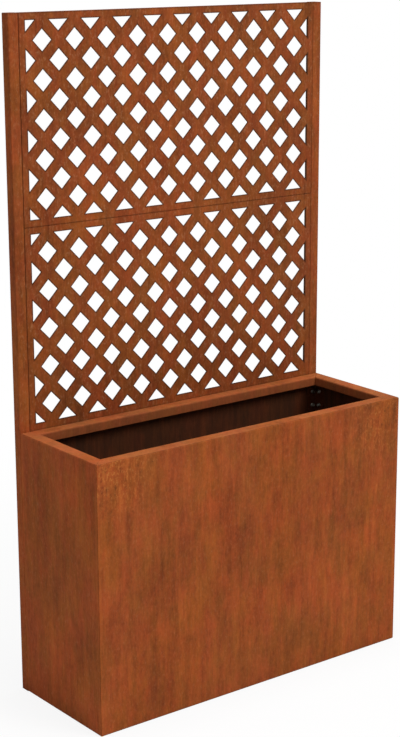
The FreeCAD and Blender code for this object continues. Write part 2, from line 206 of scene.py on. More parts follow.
# %% Signals and the bench
class Signal:
    """One output socket, which can be used in a sum."""

    def __init__(self, bench, socket):
        self.bench = bench
        self.socket = socket

    def math(self, operation, *values):
        return self.bench.add("ShaderNodeMath", {"operation": operation}, values)

    def __add__(self, other):
        return self.math("ADD", self, other)

    def __sub__(self, other):
        return self.math("SUBTRACT", self, other)

    def __rsub__(self, other):
        return self.math("SUBTRACT", other, self)

    def __mul__(self, other):
        return self.math("MULTIPLY", self, other)

    def __truediv__(self, other):
        return self.math("DIVIDE", self, other)

    def __mod__(self, other):
        return self.math("MODULO", self, other)

    def __abs__(self):
        return self.math("ABSOLUTE", self)

    def __floor__(self):
        return self.math("FLOOR", self)

    def __round__(self):
        return self.math("ROUND", self)

    __radd__ = __add__
    __rmul__ = __mul__

    def least(self, other):
        return self.math("MINIMUM", self, other)

    def most(self, other):
        return self.math("MAXIMUM", self, other)

    def rise(self, low, high):
        """0 below low, 1 above high, and a smooth rise between them."""
        return self.bench.add("ShaderNodeMapRange", {"interpolation_type": "SMOOTHSTEP"},
                              {"Value": self, "From Min": low, "From Max": high})


class Bench:
    """Adds nodes to one tree."""

    def __init__(self, tree):
        self.tree = tree

    def add(self, kind, settings=None, inputs=(), output=0):
        node = self.tree.nodes.new(kind)
        for key, value in (settings or {}).items():
            if key == "choices":
                while len(node.index_switch_items) < value:
                    node.index_switch_items.new()
            else:
                setattr(node, key, value)
        pairs = inputs.items() if isinstance(inputs, dict) else enumerate(inputs)
        for key, value in pairs:
            self.feed(self.find(node.inputs, key), value)
        return Signal(self, self.find(node.outputs, output)) if len(node.outputs) else None

    def feed(self, socket, value):
        if isinstance(value, (list, tuple)) and value and isinstance(value[0], Signal):
            for one in value:
                self.tree.links.new(one.socket, socket)
        elif isinstance(value, Signal):
            self.tree.links.new(value.socket, socket)
        else:
            socket.default_value = value

    @staticmethod
    def find(sockets, key):
        """A socket by its place in the list, its identifier or its name."""
        if isinstance(key, int):
            return sockets[key]
        for socket in sockets:
            if socket.identifier == key:
                return socket
        return sockets[key]

    def mix(self, amount, first, second, blend="MIX"):
        """Two colours mixed."""
        return self.add("ShaderNodeMix", {"data_type": "RGBA", "blend_type": blend},
                        {"Factor_Float": amount, "A_Color": first, "B_Color": second},
                        "Result_Color")


def shade(web_colour):
    """A colour as it looks on a screen, such as 8f4926, as the renderer needs it."""
    channels = [int(web_colour[i:i + 2], 16) / 255 for i in (0, 2, 4)]
    linear = [c / 12.92 if c < 0.04045 else ((c + 0.055) / 1.055) ** 2.4 for c in channels]
    return (*linear, 1.0)


print("bench ready")

# %% [markdown]
# ## Rust
#
# Weathering steel grows a tight coat of rust. From a step away it is clouds of orange, red and
# olive brown, drawn out downwards a little because rain ran over them, and the same variation
# goes on at every size down to the grain. A noise with many octaves of nearly equal strength
# does that. Several are mixed, so that how bright, how red and how dull the coat is vary apart,
# as they do on real rust. A function builds them, because the walls, the screen and the hidden
# parts share them.

# %% Colours of the coat
red_rust = shade("913c1e")
olive_rust = shade("84491a")
orange_rust = shade("92471a")
dull_rust = shade("8a4820")
dusty_rust = shade("bb8a63")
golden_rust = shade("c07a35")
# Dark rust for grains, specks, smudges and pits, also used as painted shade in the seams and beside the openings.
dark_rust_and_shade = shade("38200f")
print("tones of rust mixed")

# %% [markdown]
# A texture is noise on the Object coordinates, so it has a real size in metres. Rain draws the
# coat out downwards, so the place is squeezed in height before the noise is taken from it.
# Three more helpers start a material, close it with the one shader that all finishes use, and
# split a place into its numbers.

# %% Noise and the shader
def noise(bench, place, size, detail=5.0, rough=0.9, drawn=0.7, shift=(0, 0, 0)):
    """Clouds about this size in metres; drawn is their width as a share of their height."""
    turned = bench.add("ShaderNodeMapping", None,
                       {"Vector": place, "Scale": (1, 1, drawn), "Location": shift})
    return bench.add("ShaderNodeTexNoise", None,
                     {"Vector": turned, "Scale": 1 / size, "Detail": detail,
                      "Roughness": rough}, "Fac")


def new_material(name):
    material = bpy.data.materials.new(name)
    material.use_nodes = True
    material.node_tree.nodes.clear()
    return material, Bench(material.node_tree)


def finish_surface(bench, **sockets):
    """The shader itself and the material's output."""
    surface = bench.add("ShaderNodeBsdfPrincipled", None,
                        {key.replace("_", " "): value for key, value in sockets.items()})
    bench.add("ShaderNodeOutputMaterial", None, {"Surface": surface})


def coordinates(bench, place):
    """The three numbers of a place."""
    split = bench.add("ShaderNodeSeparateXYZ", None, {"Vector": place})
    return [Signal(bench, split.socket.node.outputs[i]) for i in range(3)]


print("helpers for finishes ready")

# %% [markdown]
# The places where the coat differs are masks worked out from where a point lies on the object.
# Each finish gets its own set, as a function that gives rows of a mask, how patchy it is and
# the tone that it brings in: rubbed edges are brighter, partly as a painted highlight, the rim
# top gets wear and a painted sheen, the lip gets painted shade, inner faces get a darker patina
# and painted shade, the seams get painted shade, the foot and the top edge are darker, and the
# coat flakes near the upper corners.

# %% The rust finish
def rust(name, level=1.0, masks=None, dusty=0.16):
    """A coat of rust. masks(bench, place) gives the rows that change it by place."""
    material, bench = new_material(name)
    place = bench.add("ShaderNodeTexCoord", None, (), "Object")

    weather = noise(bench, place, 0.30, detail=2, rough=0.85, drawn=0.60, shift=(7, 2, 5))
    clouds = noise(bench, place, 0.24, detail=7, rough=0.93, drawn=0.75)
    streaks = noise(bench, place, 0.026, detail=4, rough=0.85, drawn=0.12, shift=(3, 3, 3))
    redness = noise(bench, place, 0.09, detail=3, rough=0.80, drawn=0.40, shift=(4, 1, 2))
    dullness = noise(bench, place, 0.11, detail=3, rough=0.75, drawn=0.45, shift=(9, 5, 3))
    grain = noise(bench, place, 0.006, detail=2, rough=0.8, drawn=0.5, shift=(2, 7, 1))
    speck = noise(bench, place, 0.011, detail=4, rough=0.7, drawn=0.5, shift=(5, 3, 8))
    bright = 0.17 * weather + 0.46 * clouds + 0.37 * streaks

    # The hue, then how bright it is, then dust, dark grains, dark specks and dark smudges.
    tone = bench.mix(redness.rise(0.34, 0.66), olive_rust, red_rust)
    cast = bench.mix(dullness.rise(0.34, 0.66), orange_rust, dull_rust)
    colour = bench.mix(0.5, tone, cast)
    # At a mean noise of 0.5 the strength is the level itself.
    strength = level * (-0.75 + 3.50 * bright)
    colour = bench.add("ShaderNodeVectorMath", {"operation": "SCALE"},
                       {"Vector": colour, "Scale": strength})
    colour = bench.mix(grain.rise(0.50, 0.80) * dusty, colour, dusty_rust)
    colour = bench.mix(grain.rise(0.50, 0.20) * 0.22, colour, dark_rust_and_shade)
    colour = bench.mix(speck.rise(0.68, 0.76) * 0.5, colour, dark_rust_and_shade)
    colour = bench.mix(weather.rise(0.42, 0.30) * redness.rise(0.45, 0.30) * 0.30, colour,
                       dark_rust_and_shade)

    # How much of a mask gets through, by how patchy its row says that it is.
    share = {"even": 1.0, "worn": 0.3 + 0.7 * dullness.rise(0.35, 0.60),
             "streaked": 1.0 - 0.08 * streaks.rise(0.42, 0.60) - 0.07 * redness.rise(0.40, 0.60),
             "flecks": grain.rise(0.50, 0.62) * clouds.rise(0.42, 0.58),
             "runs": streaks.rise(0.50, 0.62) * redness.rise(0.42, 0.60),
             "pits": speck.rise(0.54, 0.66)}
    for mask, patchy, tone in masks(bench, place) if masks else ():
        colour = bench.mix(mask * share[patchy], colour, tone)

    # The coat's relief is under half a millimetre deep, so a bump is enough for it.
    height = grain * 0.6 + speck * 0.8 + bright * 0.5
    relief = bench.add("ShaderNodeBump", None,
                       {"Strength": 0.5, "Distance": 0.0004, "Height": height})
    dull = 0.78 + 0.15 * grain
    finish_surface(bench, Base_Color=colour, Roughness=dull, Normal=relief,
                   Specular_IOR_Level=0.12)
    return material


print("rust can be made")

# %% [markdown]
# A wall's coat, and the light and shade painted into it, follow from where a point lies on the
# box. How far it is from the end of the wall, how far below the rim and how far in from the outer
# faces all follow from its place, and each mask is a smooth rise over a named or short distance
# in metres, times its strength.

# %% Masks of the planter walls
rubbed_rust_and_highlight = shade("b4622a")
rim_wear_and_sheen = shade("b87646")
lip_painted_shade = shade("84492b")
inner_rust_and_shade = shade("2f1c12")


def wall_masks(bench, place):
    x, y, z = coordinates(bench, place)
    side = half_width - abs(x)
    ends = (y - front_face).least(back_face - y)
    inwards = side.least(ends)
    drop = planter_height - z
    near_corner = side.most(ends)
    rim_top = drop.rise(0.0010, 0.0002)
    inner_face = inwards.rise(0.0010, 0.0017) * (1 - rim_top)
    lip_face = inwards.rise(rim_width - 0.0035, rim_width - 0.0025)
    front = (y - front_face).rise(0.004, 0.001)
    flaking = near_corner.rise(0.22, 0.04) * drop.rise(0.20, 0.05) * front
    return [
        (flaking * 0.34, "flecks", golden_rust),
        (flaking * 0.24, "runs", golden_rust),
        (flaking * 0.42, "pits", dark_rust_and_shade),
        # A painted highlight along the vertical corners, with some wear.
        (near_corner.rise(0.016, 0.003) * 0.15, "worn", rubbed_rust_and_highlight),
        # Wear and a painted sheen on the rim top.
        (rim_top * 0.18, "worn", rim_wear_and_sheen),
        # Darker along the bottom 5 mm.
        (z.rise(0.005, 0.0) * 0.45, "even", dark_rust_and_shade),
        # Painted shade on the lip's inner face.
        (inner_face * lip_face * 0.40, "even", lip_painted_shade),
        # Inner faces: a darker patina, and painted shade.
        (inner_face * (0.89 - 0.76 * lip_face), "streaked", inner_rust_and_shade),
    ]


print("masks of the walls ready")

# %% [markdown]
# The openings were cut by laser, and the colour is darker in a band along each cut. The
# distance to the nearest cut follows from the lattice's own rule. Counted in pitches from the
# window's upper left corner, across + down and across - down are both whole numbers at the
# middle of every opening, so the larger of the two distances to a whole number says how far out
# a point lies.

# %% Masks of the lattice and the posts
pitch_x, pitch_z = 0.097, 0.0996       # opening to opening, sideways and upwards
bar_width = 0.0305                     # steel left between two openings
half_columns, half_rows = 19, 10       # the window, in half pitches
panel_rail = 0.01875                   # solid edge above and below the window
window_width = half_columns * pitch_x / 2
window_height = half_rows * pitch_z / 2
panel_height = window_height + 2 * panel_rail
tile_width = pitch_x * pitch_z / math.hypot(pitch_x, pitch_z)
opening_share = 1 - bar_width / tile_width
seam = post_low.x                      # inner face of a post


def seam_shade(x):
    """Painted shade in the seams beside the posts."""
    return abs(abs(x) - seam).rise(0.0036, 0.0004) * 0.24


def top_edge_darkening(z):
    """Darker along the top 4.5 mm."""
    return (overall_height - z).rise(0.0045, 0.0005) * 0.50


def beside_openings(x, y):
    """Inner faces of the posts and of the strips beside them, which get little light."""
    facing_in = (seam + 0.0008 - abs(x)).rise(0.0, 0.0006) * abs(x).rise(seam - 0.010, seam - 0.004)
    return facing_in * (y - post_low.y).rise(0.002, 0.004) * 0.80


def far_end(x):
    """The right half of the screen, which is a little darker."""
    return x.rise(-0.2, 0.5) * 0.09


def post_masks(bench, place):
    x, y, z = coordinates(bench, place)
    back_edge = (post_high.y - y).rise(0.0040, 0.0005)
    return [
        # Painted shade in the seams beside the posts, and darker along the top edge.
        (seam_shade(x).most(top_edge_darkening(z)), "even", dark_rust_and_shade),
        (far_end(x).most(beside_openings(x, y)), "even", dark_rust_and_shade),
        (back_edge * 0.40, "even", dark_rust_and_shade),
        # Darker along the bottom 5 mm.
        (z.rise(0.005, 0.0) * 0.45, "even", dark_rust_and_shade),
    ]


def lattice_masks(bench, place):
    x, y, z = coordinates(bench, place)
    above_foot = (z - planter_height + panel_height) % panel_height
    rise = above_foot - panel_height / 2
    inside_x = x.least(window_width / 2).most(-window_width / 2)
    inside_z = rise.least(window_height / 2).most(-window_height / 2)
    across = (inside_x + window_width / 2) / pitch_x
    down = (window_height / 2 - inside_z) / pitch_z
    sums = across + down, across - down
    off_centre = [abs(total - round(total)) for total in sums]
    to_cut = (off_centre[0].most(off_centre[1]) - opening_share / 2) * tile_width
    out_of_window = (abs(x) - window_width / 2).most(abs(rise) - window_height / 2)
    cut_outline = to_cut.most(out_of_window).rise(0.0045, 0.0008)
    between_panels = above_foot.least(panel_height - above_foot).rise(0.0036, 0.0004)
    return [
        # Darker in a band along each cut.
        (cut_outline * 0.75, "even", dark_rust_and_shade),
        # Painted shade in the seams beside the posts and between the two panels, and darker along the top edge.
        (seam_shade(x).most(top_edge_darkening(z)).most(between_panels * 0.26), "even", dark_rust_and_shade),
        (far_end(x), "even", dark_rust_and_shade),
    ]


wall_rust = rust("patina_wall", 1.0, wall_masks)
trellis_rust = rust("patina_trellis", 0.98, post_masks, 0.24)
lattice_rust = rust("patina_lattice", 0.85, lattice_masks, 0.30)
# The hidden inside parts: a darker patina, and painted shade.
inside_rust_and_shade = rust("patina_inside", 0.30)
print("rust finishes made")

# %% [markdown]
# ## Zinc and plastic
#
# The nuts and bolts are bright zinc-plated steel. Plating is a metal with a slightly cloudy
# shine and small dull stains. The plugs in the feet of the posts are black plastic, moulded
# with a faint texture.

# %% Zinc and plastic finishes
def zinc():
    material, bench = new_material("zinc_fixing")
    place = bench.add("ShaderNodeTexCoord", None, (), "Object")
    cloudy = noise(bench, place, 0.004, detail=4, rough=0.6, drawn=1.0)
    stain = noise(bench, place, 0.012, detail=3, rough=0.6, drawn=1.0, shift=(3, 3, 3))
    colour = bench.mix(cloudy.rise(0.35, 0.65), shade("8f8b84"), shade("b5b1a6"))
    colour = bench.mix(stain.rise(0.40, 0.65) * 0.7, colour, shade("6b4a30"))
    relief = bench.add("ShaderNodeBump", None,
                       {"Strength": 0.3, "Distance": 0.0001, "Height": cloudy})
    finish_surface(bench, Base_Color=colour, Metallic=1.0,
                   Roughness=0.3 + 0.25 * stain, Normal=relief)
    return material


def black_plastic():
    material, bench = new_material("black_plug")
    place = bench.add("ShaderNodeTexCoord", None, (), "Object")
    mould = noise(bench, place, 0.0008, detail=3, rough=0.6, drawn=1.0)
    dust = noise(bench, place, 0.010, detail=4, rough=0.6, drawn=1.0)
    colour = bench.mix(dust.rise(0.5, 0.8) * 0.4, shade("1a1a1b"), shade("4a4038"))
    relief = bench.add("ShaderNodeBump", None,
                       {"Strength": 0.4, "Distance": 0.0001, "Height": mould})
    finish_surface(bench, Base_Color=colour, Roughness=0.55 + 0.2 * mould, Normal=relief)
    return material


zinc_plate = zinc()
plug_plastic = black_plastic()
print("zinc and plastic made")

# %% [markdown]
# ## Finishes on the measured pieces
#
# The record of the measured model says which finish each piece has. Pieces whose shape is
# already right, such as the corner angles, only get their material here.

# %% Finish every measured piece
finish_of = {
    "patina_wall": wall_rust,
    "patina_trellis": trellis_rust,
    "patina_inside": inside_rust_and_shade,
    "zinc_fixing": zinc_plate,
    "black_plug": plug_plastic,
}
slot_of = {row["node"]: row["material_slot"] for row in frame["record"]["subparts"]}
for name, node in nodes.items():
    node.data.materials.clear()
    node.data.materials.append(finish_of[slot_of[name]])
print("finished", len(nodes), "measured pieces")

# %% [markdown]
# ## Folded walls
#
# Each wall is one sheet, and three folds part it into foot return, wall, rim and lip. A press
# brake leaves a round fold, and the light along the rim comes from it, so the walls are built
# again with finer folds. The section is drawn once as pairs of an outer and an inner point,
# carried along the wall, and cut at 45 degrees at both ends, where two walls meet.

# %% Section of a folded wall
def rounded_corners(corners, radius, steps=6):
    """The corners of an open path with square turns, each replaced by an arc."""
    points = [corners[0]]
    for before, corner, after in zip(corners, corners[1:], corners[2:]):
        back = (before - corner).normalized()
        ahead = (after - corner).normalized()
        centre = corner + (back + ahead) * radius
        for step in range(steps + 1):
            turn = math.pi / 2 * step / steps
            points.append(centre - ahead * radius * math.cos(turn) - back * radius * math.sin(turn))
    points.append(corners[-1])
    return points


def wall_section():
    """Outer and inner points of the section, as (inwards, upwards)."""
    top = planter_height
    outer = [Vector(p) for p in ((foot_return, 0), (0, 0), (0, top), (rim_width, top),
                                 (rim_width, top - lip_depth))]
    inner = [Vector(p) for p in ((foot_return, sheet), (sheet, sheet), (sheet, top - sheet),
                                 (rim_width - sheet, top - sheet),
                                 (rim_width - sheet, top - lip_depth))]
    return rounded_corners(outer, fold + sheet), rounded_corners(inner, fold)


outer_points, inner_points = wall_section()
print("points round the section:", len(outer_points) + len(inner_points))

# %% [markdown]
# The mesh is made with bmesh: a row of points at each end of the wall for every point of the
# section, joined by faces. Each point stops further from the corner the further in it lies,
# which is the mitre. A small bevel rounds the cut edges, as handling does.

# %% Build the four walls
edge_softening = 0.0003       # rounding of cut edges


def make_piece(name, builder, material, slot):
    """An object from a bmesh, riding on the object's body."""
    mesh = bpy.data.meshes.new(name)
    builder.to_mesh(mesh)
    builder.free()
    mesh.materials.append(material)
    return adopt(bpy.data.objects.new(name, mesh), slot)


def adopt(piece, slot):
    bpy.context.collection.objects.link(piece)
    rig.ride(piece, body)
    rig.slot(piece, slot)
    return piece


def soften(piece, width, segments=2):
    """Rounds the piece's sharp edges."""
    bevel = piece.modifiers.new("soft_edges", "BEVEL")
    bevel.width = width
    bevel.segments = segments
    bevel.limit_method = "ANGLE"
    bevel.angle_limit = math.radians(40)
    bevel.harden_normals = True
    for face in piece.data.polygons:
        face.use_smooth = True
    return piece


def folded_wall(name, length, place):
    """One wall; place turns (along, inwards, up) into a point of the object."""
    builder = bmesh.new()
    loops = []
    for points in (outer_points, inner_points):
        for end in (-1, 1):
            reach = length / 2 - mitre_gap / math.sqrt(2)
            loops.append([builder.verts.new(place(end * (reach - p.x), p.x, p.y))
                          for p in points])
    outer_left, outer_right, inner_left, inner_right = loops
    for i in range(len(outer_points) - 1):
        j = i + 1
        builder.faces.new((outer_left[i], outer_right[i], outer_right[j], outer_left[j]))
        builder.faces.new((inner_left[j], inner_right[j], inner_right[i], inner_left[i]))
        builder.faces.new((outer_left[i], outer_left[j], inner_left[j], inner_left[i]))
        builder.faces.new((outer_right[j], outer_right[i], inner_right[i], inner_right[j]))
    for i in (0, -1):
        builder.faces.new((outer_left[i], inner_left[i], inner_right[i], outer_right[i]))
    bmesh.ops.recalc_face_normals(builder, faces=builder.faces)
    wall = make_piece(name, builder, wall_rust, "patina_wall")
    return soften(wall, edge_softening)


wall_places = {
    "front_wall": (2 * half_width, lambda a, i, u: (a, front_face + i, u)),
    "back_wall": (2 * half_width, lambda a, i, u: (-a, back_face - i, u)),
    "left_wall": (back_face - front_face, lambda a, i, u: (-half_width + i, planter_middle - a, u)),
    "right_wall": (back_face - front_face, lambda a, i, u: (half_width - i, planter_middle + a, u)),
}
for name, (length, place) in wall_places.items():
    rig.replaces(folded_wall("folded_" + name, length, place), name)
print("folded walls:", ", ".join(wall_places))

# %% [markdown]
# ## Trees of geometry nodes
#
# The lattice, the fasteners and the welds each follow a rule, so geometry nodes make them. A
# tree gets its sizes as named inputs, so one tree serves every copy, and what it gives is kept
# as a plain mesh. These helpers start a tree, close it, and run it.

# %% Run a tree of geometry nodes
def new_tree(name, sizes, **others):
    """A tree of geometry nodes with named inputs, and its bench and input node."""
    tree = bpy.data.node_groups.new(name, "GeometryNodeTree")
    tree.interface.new_socket("Geometry", in_out="INPUT", socket_type="NodeSocketGeometry")
    for size in sizes:
        tree.interface.new_socket(size, in_out="INPUT", socket_type="NodeSocketFloat")
    for label, kind in others.items():
        tree.interface.new_socket(label, in_out="INPUT", socket_type=kind)
    tree.interface.new_socket("Material", in_out="INPUT", socket_type="NodeSocketMaterial")
    tree.interface.new_socket("Geometry", in_out="OUTPUT", socket_type="NodeSocketGeometry")
    bench = Bench(tree)
    group_in = tree.nodes.new("NodeGroupInput")
    given = {socket.name: Signal(bench, socket) for socket in group_in.outputs if socket.name}
    return tree, bench, given


def close_tree(bench, given, shape):
    """Real geometry with its material, handed out of the tree."""
    real = bench.add("GeometryNodeRealizeInstances", None, {"Geometry": shape})
    coated = bench.add("GeometryNodeSetMaterial", None,
                       {"Geometry": real, "Material": given["Material"]})
    group_out = bench.tree.nodes.new("NodeGroupOutput")
    bench.feed(group_out.inputs[0], coated)


def grow(name, tree, material, slot, base=None, **values):
    """Runs a tree on a base mesh and keeps the result as a plain mesh."""
    mesh = base or bpy.data.meshes.new(name + "_base")
    worker = bpy.data.objects.new(name + "_worker", mesh)
    bpy.context.collection.objects.link(worker)
    modifier = worker.modifiers.new("grow", "NODES")
    modifier.node_group = tree
    values["Material"] = material
    for item in tree.interface.items_tree:
        if item.in_out == "INPUT" and item.name.replace(" ", "_") in values:
            modifier[item.identifier] = values[item.name.replace(" ", "_")]
    depsgraph = bpy.context.evaluated_depsgraph_get()
    result = bpy.data.meshes.new_from_object(worker.evaluated_get(depsgraph))
    bpy.data.objects.remove(worker)
    result.name = name
    print("%s: %d faces" % (name, len(result.polygons)))
    return adopt(bpy.data.objects.new(name, result), slot)


print("trees can be run")

# %% [markdown]
# ## Lattice sheets
#
# Each lattice sheet is cut from one plain sheet. Its openings follow a rule: a diamond on every
# second point of a half-pitch grid, and what would stick out of the window is cut off along
# its border. Drawing every opening by hand would be slow and would not follow a new size, so
# geometry nodes do it. Instead of cutting, every corner of a diamond is moved onto the border
# where it lies outside, which gives the same half and quarter openings.

# %% The tree that cuts a lattice
def lattice_tree():
    sizes = ("Sheet Width", "Sheet Height", "Thickness", "Window Width", "Window Height",
             "Half Columns", "Half Rows", "Hole Width", "Hole Height", "Front",
             "Sheet Middle", "Window Middle")
    tree, bench, given = new_tree("cut_lattice", sizes)
    columns = given["Half Columns"] + 1
    rows = given["Half Rows"] + 1
    grid = bench.add("GeometryNodeMeshGrid", None,
                     {"Size X": given["Window Width"], "Size Y": given["Window Height"],
                      "Vertices X": columns, "Vertices Y": rows})
    number = bench.add("GeometryNodeInputIndex")
    column = math.floor((number + 0.5) / rows)
    row = number - column * rows
    every_second = 1 - (column + row) % 2

    right = bench.add("ShaderNodeCombineXYZ", None, (given["Hole Width"] / 2, 0, 0))
    top = bench.add("ShaderNodeCombineXYZ", None, (0, given["Hole Height"] / 2, 0))
    left = bench.add("ShaderNodeCombineXYZ", None, (given["Hole Width"] / -2, 0, 0))
    low = bench.add("ShaderNodeCombineXYZ", None, (0, given["Hole Height"] / -2, 0))
    diamond = bench.add("GeometryNodeCurvePrimitiveQuadrilateral", {"mode": "POINTS"},
                        {"Point 1": right, "Point 2": top, "Point 3": left, "Point 4": low})
    copies = bench.add("GeometryNodeInstanceOnPoints", None,
                       {"Points": grid, "Selection": every_second, "Instance": diamond})
    openings = bench.add("GeometryNodeRealizeInstances", None, {"Geometry": copies})

    window = bench.add("ShaderNodeCombineXYZ", None,
                       (given["Window Width"] / 2, given["Window Height"] / 2, 0))
    mirror = bench.add("ShaderNodeVectorMath", {"operation": "SCALE"},
                       {"Vector": window, "Scale": -1.0})
    here = bench.add("GeometryNodeInputPosition")
    kept_low = bench.add("ShaderNodeVectorMath", {"operation": "MAXIMUM"}, (here, mirror))
    kept = bench.add("ShaderNodeVectorMath", {"operation": "MINIMUM"}, (kept_low, window))
    trimmed = bench.add("GeometryNodeSetPosition", None,
                        {"Geometry": openings, "Position": kept})

    border = bench.add("GeometryNodeCurvePrimitiveQuadrilateral", {"mode": "RECTANGLE"},
                       {"Width": given["Sheet Width"], "Height": given["Sheet Height"]})
    lower_by = bench.add("ShaderNodeCombineXYZ", None,
                         (0, given["Sheet Middle"] - given["Window Middle"], 0))
    border = bench.add("GeometryNodeTransform", None,
                       {"Geometry": border, "Translation": lower_by})
    outlines = bench.add("GeometryNodeJoinGeometry", None, {"Geometry": [trimmed, border]})
    face = bench.add("GeometryNodeFillCurve", {"mode": "NGONS"}, {"Curve": outlines})
    depth = bench.add("ShaderNodeCombineXYZ", None, (0, 0, given["Thickness"]))
    raised = bench.add("GeometryNodeExtrudeMesh", {"mode": "FACES"},
                       {"Mesh": face, "Offset": depth, "Offset Scale": 1.0, "Individual": False})
    back = bench.add("GeometryNodeFlipFaces", None, {"Mesh": face})
    both = bench.add("GeometryNodeJoinGeometry", None, {"Geometry": [raised, back]})
    closed = bench.add("GeometryNodeMergeByDistance", None,
                       {"Geometry": both, "Distance": 0.000001})
    stand = bench.add("ShaderNodeCombineXYZ", None,
                      (0, given["Front"] + given["Thickness"], given["Window Middle"]))
    upright = bench.add("GeometryNodeTransform", None,
                        {"Geometry": closed, "Translation": stand,
                         "Rotation": (math.pi / 2, 0, 0)})
    close_tree(bench, given, upright)
    return tree


cut_lattice = lattice_tree()
print("the lattice's tree has", len(cut_lattice.nodes), "nodes")

# %% [markdown]
# Both sheets come from the same tree. The lower one is longer, because its foot is tucked down
# behind the box, so the middle of its window and the middle of the sheet are two inputs.

# %% Cut both lattice sheets
for level, foot in (("lower", planter_height), ("upper", planter_height + panel_height)):
    node = level + "_lattice_sheet"
    low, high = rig.box(node)
    lattice = grow("cut_" + node, cut_lattice, lattice_rust, "patina_trellis",
                   Sheet_Width=high.x - low.x, Sheet_Height=high.z - low.z,
                   Thickness=high.y - low.y, Window_Width=window_width,
                   Window_Height=window_height, Half_Columns=half_columns,
                   Half_Rows=half_rows, Hole_Width=opening_share * pitch_x,
                   Hole_Height=opening_share * pitch_z, Front=low.y,
                   Sheet_Middle=(low.z + high.z) / 2, Window_Middle=foot + panel_height / 2)
    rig.replaces(soften(lattice, edge_softening), node)

# %% [markdown]
# ## Bolts, nuts and studs
#
# Nuts on welded studs hold the walls to the corner angles, and bolts hold the screen. All are
# hexagon parts with a flange, in two sizes. Such a part is turned on a lathe from its profile
# and its flats are pressed on afterwards, and geometry nodes can do the same: a grid is wound
# round an axis with its rows on the profile, and the rows of the head are held inside a
# hexagon. Where the turned chamfer is narrower than the corners, that leaves the curved lines
# of a real nut. Where each one sits, and which way it points, is read from the measured pieces.

# %% Where each fastener sits
hex_width = {"M6": 0.010, "M5": 0.008}      # across the flats
flange_thickness = {"M6": 0.0013, "M5": 0.0011}
thread_width = {"M6": 0.0058, "M5": 0.0048}
thread_pitch = {"M6": 0.0010, "M5": 0.0008}
size_of = {"corner_nuts": "M6", "tie_nuts": "M6", "post_bolts": "M6", "panel_bolts": "M6",
           "panel_joint_bolts": "M5", "panel_joint_nuts": "M5"}


def loose_pieces(node):
    """The points of each separate solid in a measured piece."""
    builder = bmesh.new()
    builder.from_mesh(nodes[node].data)
    bmesh.ops.remove_doubles(builder, verts=builder.verts, dist=0.00001)
    met = set()
    pieces = []
    for start in builder.verts:
        if start in met:
            continue
        met.add(start)
        reached = [start]
        for vertex in reached:
            for edge in vertex.link_edges:
                other = edge.other_vert(vertex)
                if other not in met:
                    met.add(other)
                    reached.append(other)
        pieces.append([vertex.co.copy() for vertex in reached])
    builder.free()
    return pieces


def fastener(points):
    """A fastener's seat and axis, and its flange's width, head and shank in metres."""
    low = Vector([min(p[i] for p in points) for i in range(3)])
    high = Vector([max(p[i] for p in points) for i in range(3)])
    size = high - low
    along = min(range(3), key=lambda i: abs(size[i - 1] - size[i - 2]))
    middle = (low + high) / 2
    flange_width = max(size[along - 1], size[along - 2])
    across = Vector([float(i != along) for i in range(3)])
    rim = [p[along] for p in points if ((p - middle) * across).length > 0.48 * flange_width]
    below, above = min(rim) - low[along], high[along] - max(rim)
    head, shank = sorted((below, above))
    if head < 0.0001:
        head, shank = shank, head
    upwards = head == above
    seat = middle.copy()
    seat[along] = min(rim) if upwards else max(rim)
    axis = Vector()
    axis[along] = 1.0 if upwards else -1.0
    return seat, axis, {"Flange_Width": flange_width, "Shank_Length": shank,
                        "Head_Height": head + max(rim) - min(rim)}


def marks(name, seats):
    """A mesh of one point for each seat, which knows its axis."""
    mesh = bpy.data.meshes.new(name)
    mesh.from_pydata([seat for seat, axis in seats], [], [])
    pointing = mesh.attributes.new("axis", "FLOAT_VECTOR", "POINT")
    pointing.data.foreach_set("vector", [number for seat, axis in seats for number in axis])
    return mesh


fasteners = {node: [fastener(piece) for piece in loose_pieces(node)] for node in size_of}
for node, found in fasteners.items():
    print(node, len(found), {key: round(1000 * value, 2) for key, value in found[0][2].items()})

# %% [markdown]
# A profile is a list of (radius, height, flats) from the middle of the top outwards and down,
# with flats at 1 where the hexagon holds the radius in. The thread is a row of crests and
# roots. A nut's profile ends where it began, so its bore is open and the ring closes.

# %% Profiles of a bolt, a nut and a stud
thread_rows = 6


def threads(crest, root, top, pitch):
    """Crests and roots downwards from a height."""
    rows = []
    for turn in range(thread_rows):
        rows.append((crest, top - pitch * turn, 0))
        rows.append((root, top - pitch * (turn + 0.5), 0))
    return rows


def head_profile(given):
    """The outside of a head or a nut, from its chamfer down to its seat."""
    corner = given["Hex Width"] / math.sqrt(3)
    flange = given["Flange Width"] / 2
    thick = given["Flange Thickness"]
    top = given["Head Height"]
    chamfer = given["Hex Width"] * 0.06
    return [
        (given["Hex Width"] * 0.475, top, 1), (corner, top - chamfer, 1),
        (corner, thick * 1.15, 1), (corner, thick * 1.1, 0), (flange - thick * 0.5, thick, 0),
        (flange - thick * 0.1, thick * 0.75, 0), (flange, thick * 0.45, 0), (flange, 0, 0),
    ]


def bolt_profile(given):
    crest = given["Thread Width"] / 2
    root = crest - given["Pitch"] * 0.4
    tip = given["Shank Length"] * -1.0
    top = given["Head Height"]
    dish = given["Hex Width"] * 0.36
    start = tip + given["Pitch"] * (thread_rows + 0.5)
    return [(0, top - 0.0003, 0), (dish, top - 0.0003, 0), (dish * 1.08, top, 0),
            *head_profile(given), (crest, 0, 0),
            *threads(crest, root, start, given["Pitch"]), (root, tip, 0), (0, tip, 0)]


def nut_profile(given):
    bore = given["Thread Width"] / 2 + 0.0001
    top = given["Head Height"]
    return [(bore, 0, 0), (bore, top - 0.0005, 0), (bore + 0.0005, top, 0),
            *head_profile(given), (bore, 0, 0)]


